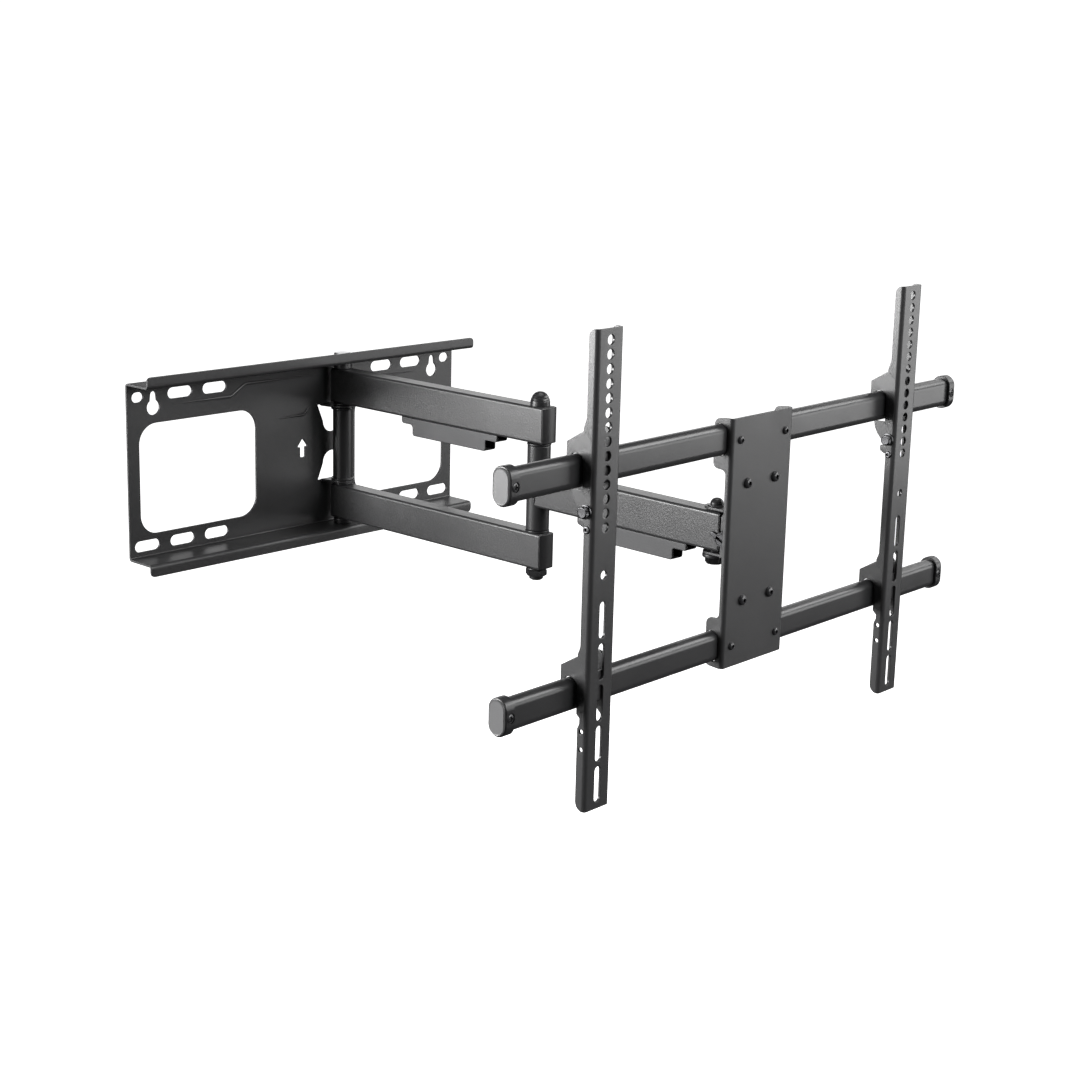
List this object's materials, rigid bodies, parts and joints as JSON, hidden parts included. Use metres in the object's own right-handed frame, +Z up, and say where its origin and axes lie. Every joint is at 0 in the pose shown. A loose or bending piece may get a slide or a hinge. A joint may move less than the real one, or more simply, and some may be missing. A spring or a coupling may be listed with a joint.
{
  "type": "television wall mount",
  "caption": "Full motion television wall mount: pressed wall plate, folding double and single box-section arms, tilting head, oval rails and slotted screen brackets.",
  "frame": {"origin": "middle of the back face of the wall plate, where it meets the wall", "axes": "+Y into the wall, -Y out into the room, +X to the right along the wall seen from the room, +Z up"},
  "size_m": [0.7088, 0.6414, 0.4295],
  "materials": {
    "black_powder_coat": "fine-textured satin powder coat",
    "rail_powder_coat": "smooth semi-gloss powder coat",
    "black_plastic": "moulded satin",
    "grey_plastic": "moulded matte",
    "zinc_steel": "bright zinc plate",
    "black_steel": "black oxide"
  },
  "bodies": {
    "wall": {"wall_plate": "black_powder_coat", "wall_pivot_bolt": "zinc_steel", "wall_pivot_nut": "zinc_steel", "wall_pivot_spacer": "black_steel", "upper_ledge_collar": "black_plastic", "lower_ledge_collar": "black_plastic", "upper_tab_washer": "black_plastic", "lower_tab_washer": "black_plastic"},
    "first_arms": {"upper_arm": "black_powder_coat", "lower_arm": "black_powder_coat", "upper_arm_plug": "black_plastic", "lower_arm_plug": "black_plastic", "upper_cable_cover": "grey_plastic", "elbow_pin": "black_steel", "elbow_nut": "zinc_steel"},
    "second_arm": {"elbow_sleeve": "black_powder_coat", "elbow_upper_bush": "black_plastic", "elbow_lower_bush": "black_plastic", "front_arm": "black_powder_coat", "front_arm_plug": "black_plastic", "front_cable_cover": "grey_plastic"},
    "head": {"head_clevis": "black_powder_coat", "swivel_bolt": "black_steel", "swivel_nut": "zinc_steel", "tilt_bolt": "zinc_steel"},
    "tilt_knob": {"tilt_wing_nut": "zinc_steel"},
    "tv_frame": {"tilt_bracket": "black_powder_coat", "centre_plate": "black_powder_coat", "bracket_screw_1": "black_steel", "bracket_screw_2": "black_steel", "bracket_screw_3": "black_steel", "bracket_screw_4": "black_steel", "rail_screw_1": "black_steel", "rail_screw_2": "black_steel", "rail_screw_3": "black_steel", "rail_screw_4": "black_steel", "upper_rail": "rail_powder_coat", "lower_rail": "rail_powder_coat", "upper_left_cap": "black_plastic", "upper_right_cap": "black_plastic", "lower_left_cap": "black_plastic", "lower_right_cap": "black_plastic", "upper_left_cap_screw": "black_steel", "upper_right_cap_screw": "black_steel", "lower_left_cap_screw": "black_steel", "lower_right_cap_screw": "black_steel"},
    "left_tv_bracket": {"left_bracket": "black_powder_coat", "left_upper_hook": "black_powder_coat", "left_lower_hook": "black_powder_coat", "left_lock_plate": "black_powder_coat", "left_pull_tab": "black_plastic", "left_rivet": "zinc_steel"},
    "left_lock": {"left_lock_screw": "zinc_steel"},
    "right_tv_bracket": {"right_bracket": "black_powder_coat", "right_upper_hook": "black_powder_coat", "right_lower_hook": "black_powder_coat", "right_lock_plate": "black_powder_coat", "right_pull_tab": "black_plastic", "right_rivet": "zinc_steel"},
    "right_lock": {"right_lock_screw": "zinc_steel"}
  },
  "joints": [
    {"name": "wall_pivot", "type": "hinge", "parent": "wall", "child": "first_arms", "pos_m": [0.0458, -0.0217, 0], "axis": [0, 0, 1], "range_deg": [-90, 90]},
    {"name": "elbow", "type": "hinge", "parent": "first_arms", "child": "second_arm", "pos_m": [0.04709, -0.3307, 0], "axis": [0, 0, -1], "range_deg": [-80, 80]},
    {"name": "head_swivel", "type": "hinge", "parent": "second_arm", "child": "head", "pos_m": [0.0415, -0.57363, 0], "axis": [0, 0, -1], "range_deg": [-45, 45]},
    {"name": "tilt", "type": "hinge", "parent": "head", "child": "tv_frame", "pos_m": [0.04235, -0.59862, -0.002], "axis": [0.9994, 0.0342, 0], "range_deg": [-5, 15]},
    {"name": "tilt_knob_turn", "type": "hinge", "parent": "head", "child": "tilt_knob", "pos_m": [0.04235, -0.59862, -0.002], "axis": [0.9994, 0.0342, 0], "range_deg": [-180, 180]},
    {"name": "left_bracket_slide", "type": "slide", "parent": "tv_frame", "child": "left_tv_bracket", "axis": [0.9994, 0.0342, 0], "range_m": [-0.07, 0.14]},
    {"name": "right_bracket_slide", "type": "slide", "parent": "tv_frame", "child": "right_tv_bracket", "axis": [0.9994, 0.0342, 0], "range_m": [-0.14, 0.087]},
    {"name": "left_lock_turn", "type": "hinge", "parent": "left_tv_bracket", "child": "left_lock", "pos_m": [-0.21509, -0.63394, 0.0668], "axis": [0.9994, 0.0342, 0], "range_deg": [0, 720]},
    {"name": "right_lock_turn", "type": "hinge", "parent": "right_tv_bracket", "child": "right_lock", "pos_m": [0.26363, -0.61756, 0.0668], "axis": [0.9994, 0.0342, 0], "range_deg": [0, 720]}
  ]
}
